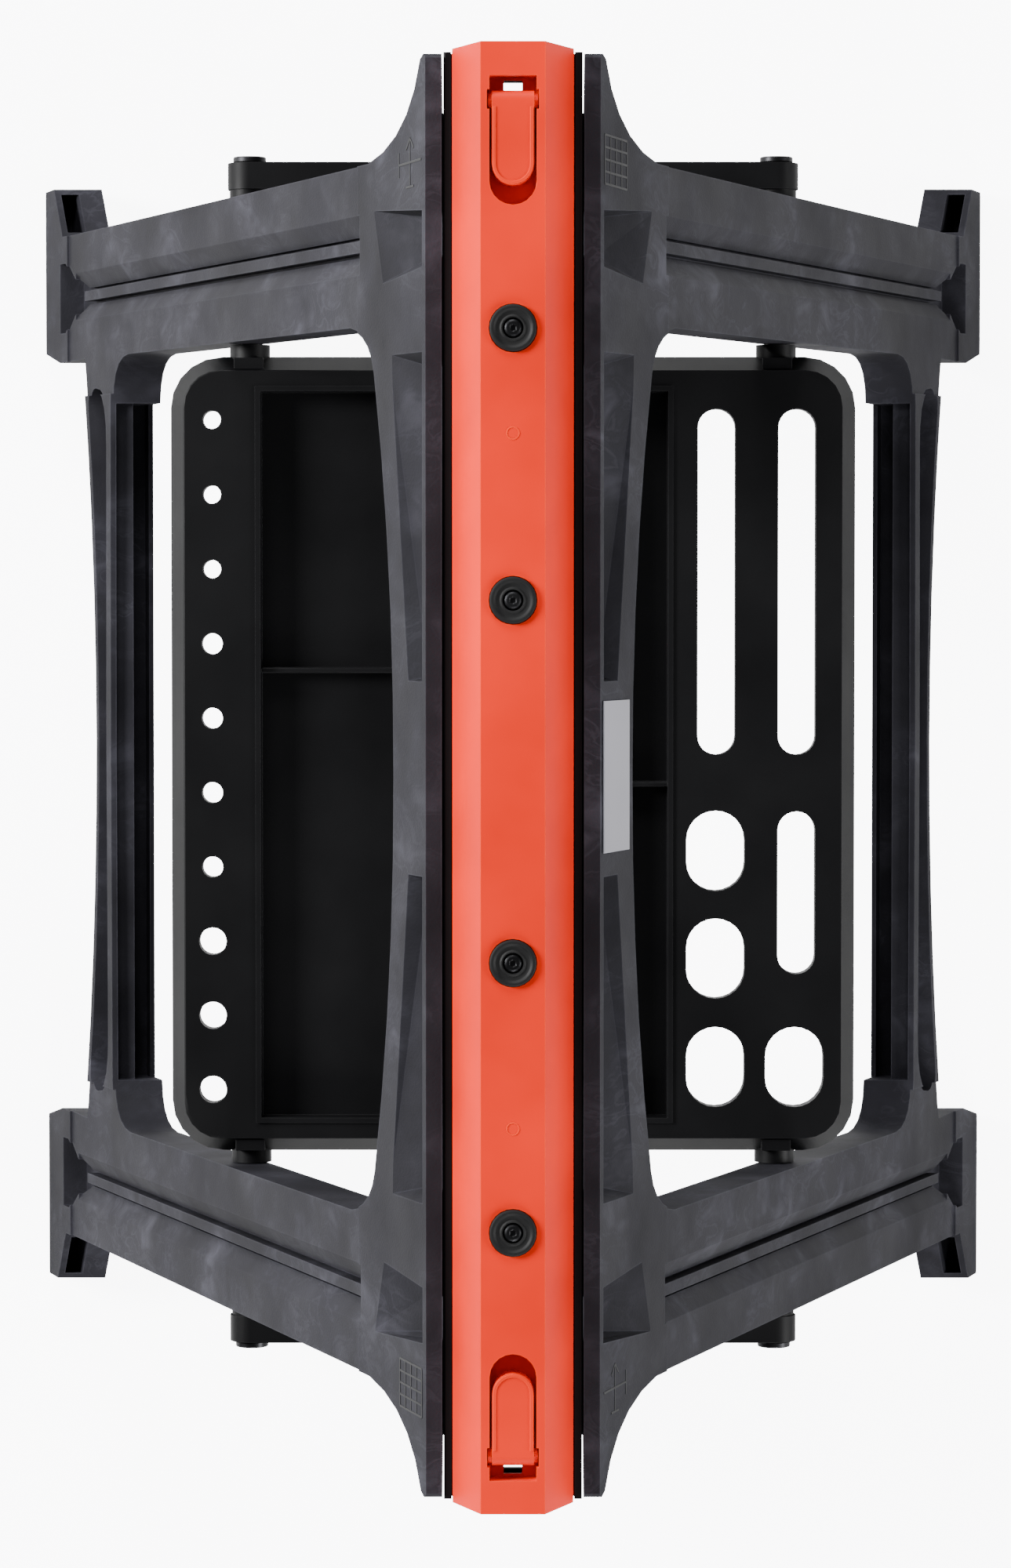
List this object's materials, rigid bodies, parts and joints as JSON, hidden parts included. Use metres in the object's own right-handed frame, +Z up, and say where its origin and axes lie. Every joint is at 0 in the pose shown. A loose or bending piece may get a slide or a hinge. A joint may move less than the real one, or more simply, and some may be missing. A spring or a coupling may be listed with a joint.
{
  "type": "folding sawhorse",
  "caption": "Folding plastic sawhorse with a padded orange top beam, hinged A-frame legs, a folding tool tray with side braces, and flip-up end stops.",
  "frame": {"origin": "on the floor below the middle of the beam", "axes": "+Z up, +Y along the beam, +X across the spread of the legs"},
  "size_m": [0.592, 0.686, 0.8118],
  "materials": {
    "cap_orange": "fine moulded grain, satin",
    "leg_foam": "structural foam with pale swirl marks",
    "black_plastic": "satin moulded",
    "grip_rubber": "soft matt",
    "zinc_steel": "zinc plated",
    "label_film": "plain silver-grey film"
  },
  "bodies": {
    "spine": {"top_cap": "cap_orange", "spine_beam": "black_plastic", "grip_pad_1": "grip_rubber", "grip_pad_2": "grip_rubber", "grip_pad_3": "grip_rubber", "grip_pad_4": "grip_rubber", "pad_screw_1": "zinc_steel", "pad_screw_2": "zinc_steel", "pad_screw_3": "zinc_steel", "pad_screw_4": "zinc_steel", "leg_hinge_pin_right_front": "zinc_steel", "leg_hinge_pin_right_rear": "zinc_steel", "leg_hinge_pin_left_front": "zinc_steel", "leg_hinge_pin_left_rear": "zinc_steel"},
    "leg_right": {"leg_frame_right": "leg_foam", "foot_pad_right_front": "grip_rubber", "foot_pad_right_rear": "grip_rubber", "rail_label": "label_film"},
    "tray_right": {"tray_right": "black_plastic", "brace_right_front": "black_plastic", "brace_right_rear": "black_plastic", "pivot_bolt_right_front": "zinc_steel", "pivot_bolt_right_rear": "zinc_steel", "pivot_clip_right_front": "zinc_steel", "pivot_clip_right_rear": "zinc_steel", "brace_rivet_right": "zinc_steel", "tray_pin_right_1": "zinc_steel", "tray_pin_right_2": "zinc_steel"},
    "leg_left": {"leg_frame_left": "leg_foam", "foot_pad_left_front": "grip_rubber", "foot_pad_left_rear": "grip_rubber"},
    "tray_left": {"tray_left": "black_plastic", "brace_left_front": "black_plastic", "brace_left_rear": "black_plastic", "pivot_bolt_left_front": "zinc_steel", "pivot_bolt_left_rear": "zinc_steel", "pivot_clip_left_front": "zinc_steel", "pivot_clip_left_rear": "zinc_steel", "brace_rivet_left": "zinc_steel", "tray_pin_left_1": "zinc_steel", "tray_pin_left_2": "zinc_steel"},
    "stop_front": {"end_stop_front": "cap_orange"},
    "stop_rear": {"end_stop_rear": "cap_orange"}
  },
  "joints": [
    {"name": "leg_left_fold", "type": "hinge", "parent": "spine", "child": "leg_left", "pos_m": [-0.016, 0, 0.742], "axis": [0, -1, 0], "range_deg": [0, 18.16]},
    {"name": "leg_right_fold", "type": "hinge", "parent": "spine", "child": "leg_right", "pos_m": [0.016, 0, 0.742], "axis": [0, 1, 0], "range_deg": [0, 18.16]},
    {"name": "tray_left_fold", "type": "hinge", "parent": "leg_left", "child": "tray_left", "pos_m": [-0.1445, 0, 0.4], "axis": [0, -1, 0], "range_deg": [0, 59.25]},
    {"name": "tray_right_fold", "type": "hinge", "parent": "leg_right", "child": "tray_right", "pos_m": [0.1445, 0, 0.4], "axis": [0, 1, 0], "range_deg": [0, 59.25]},
    {"name": "stop_front_flip", "type": "hinge", "parent": "spine", "child": "stop_front", "pos_m": [0, -0.316, 0.8048], "axis": [1, 0, 0], "range_deg": [0, 90]},
    {"name": "stop_rear_flip", "type": "hinge", "parent": "spine", "child": "stop_rear", "pos_m": [0, 0.316, 0.8048], "axis": [-1, 0, 0], "range_deg": [0, 90]}
  ],
  "couplings": [
    {"joint": "leg_right_fold", "follows": "leg_left_fold", "ratio": 1},
    {"joint": "tray_left_fold", "follows": "leg_left_fold", "ratio": 3.2625},
    {"joint": "tray_right_fold", "follows": "leg_left_fold", "ratio": 3.2625}
  ]
}
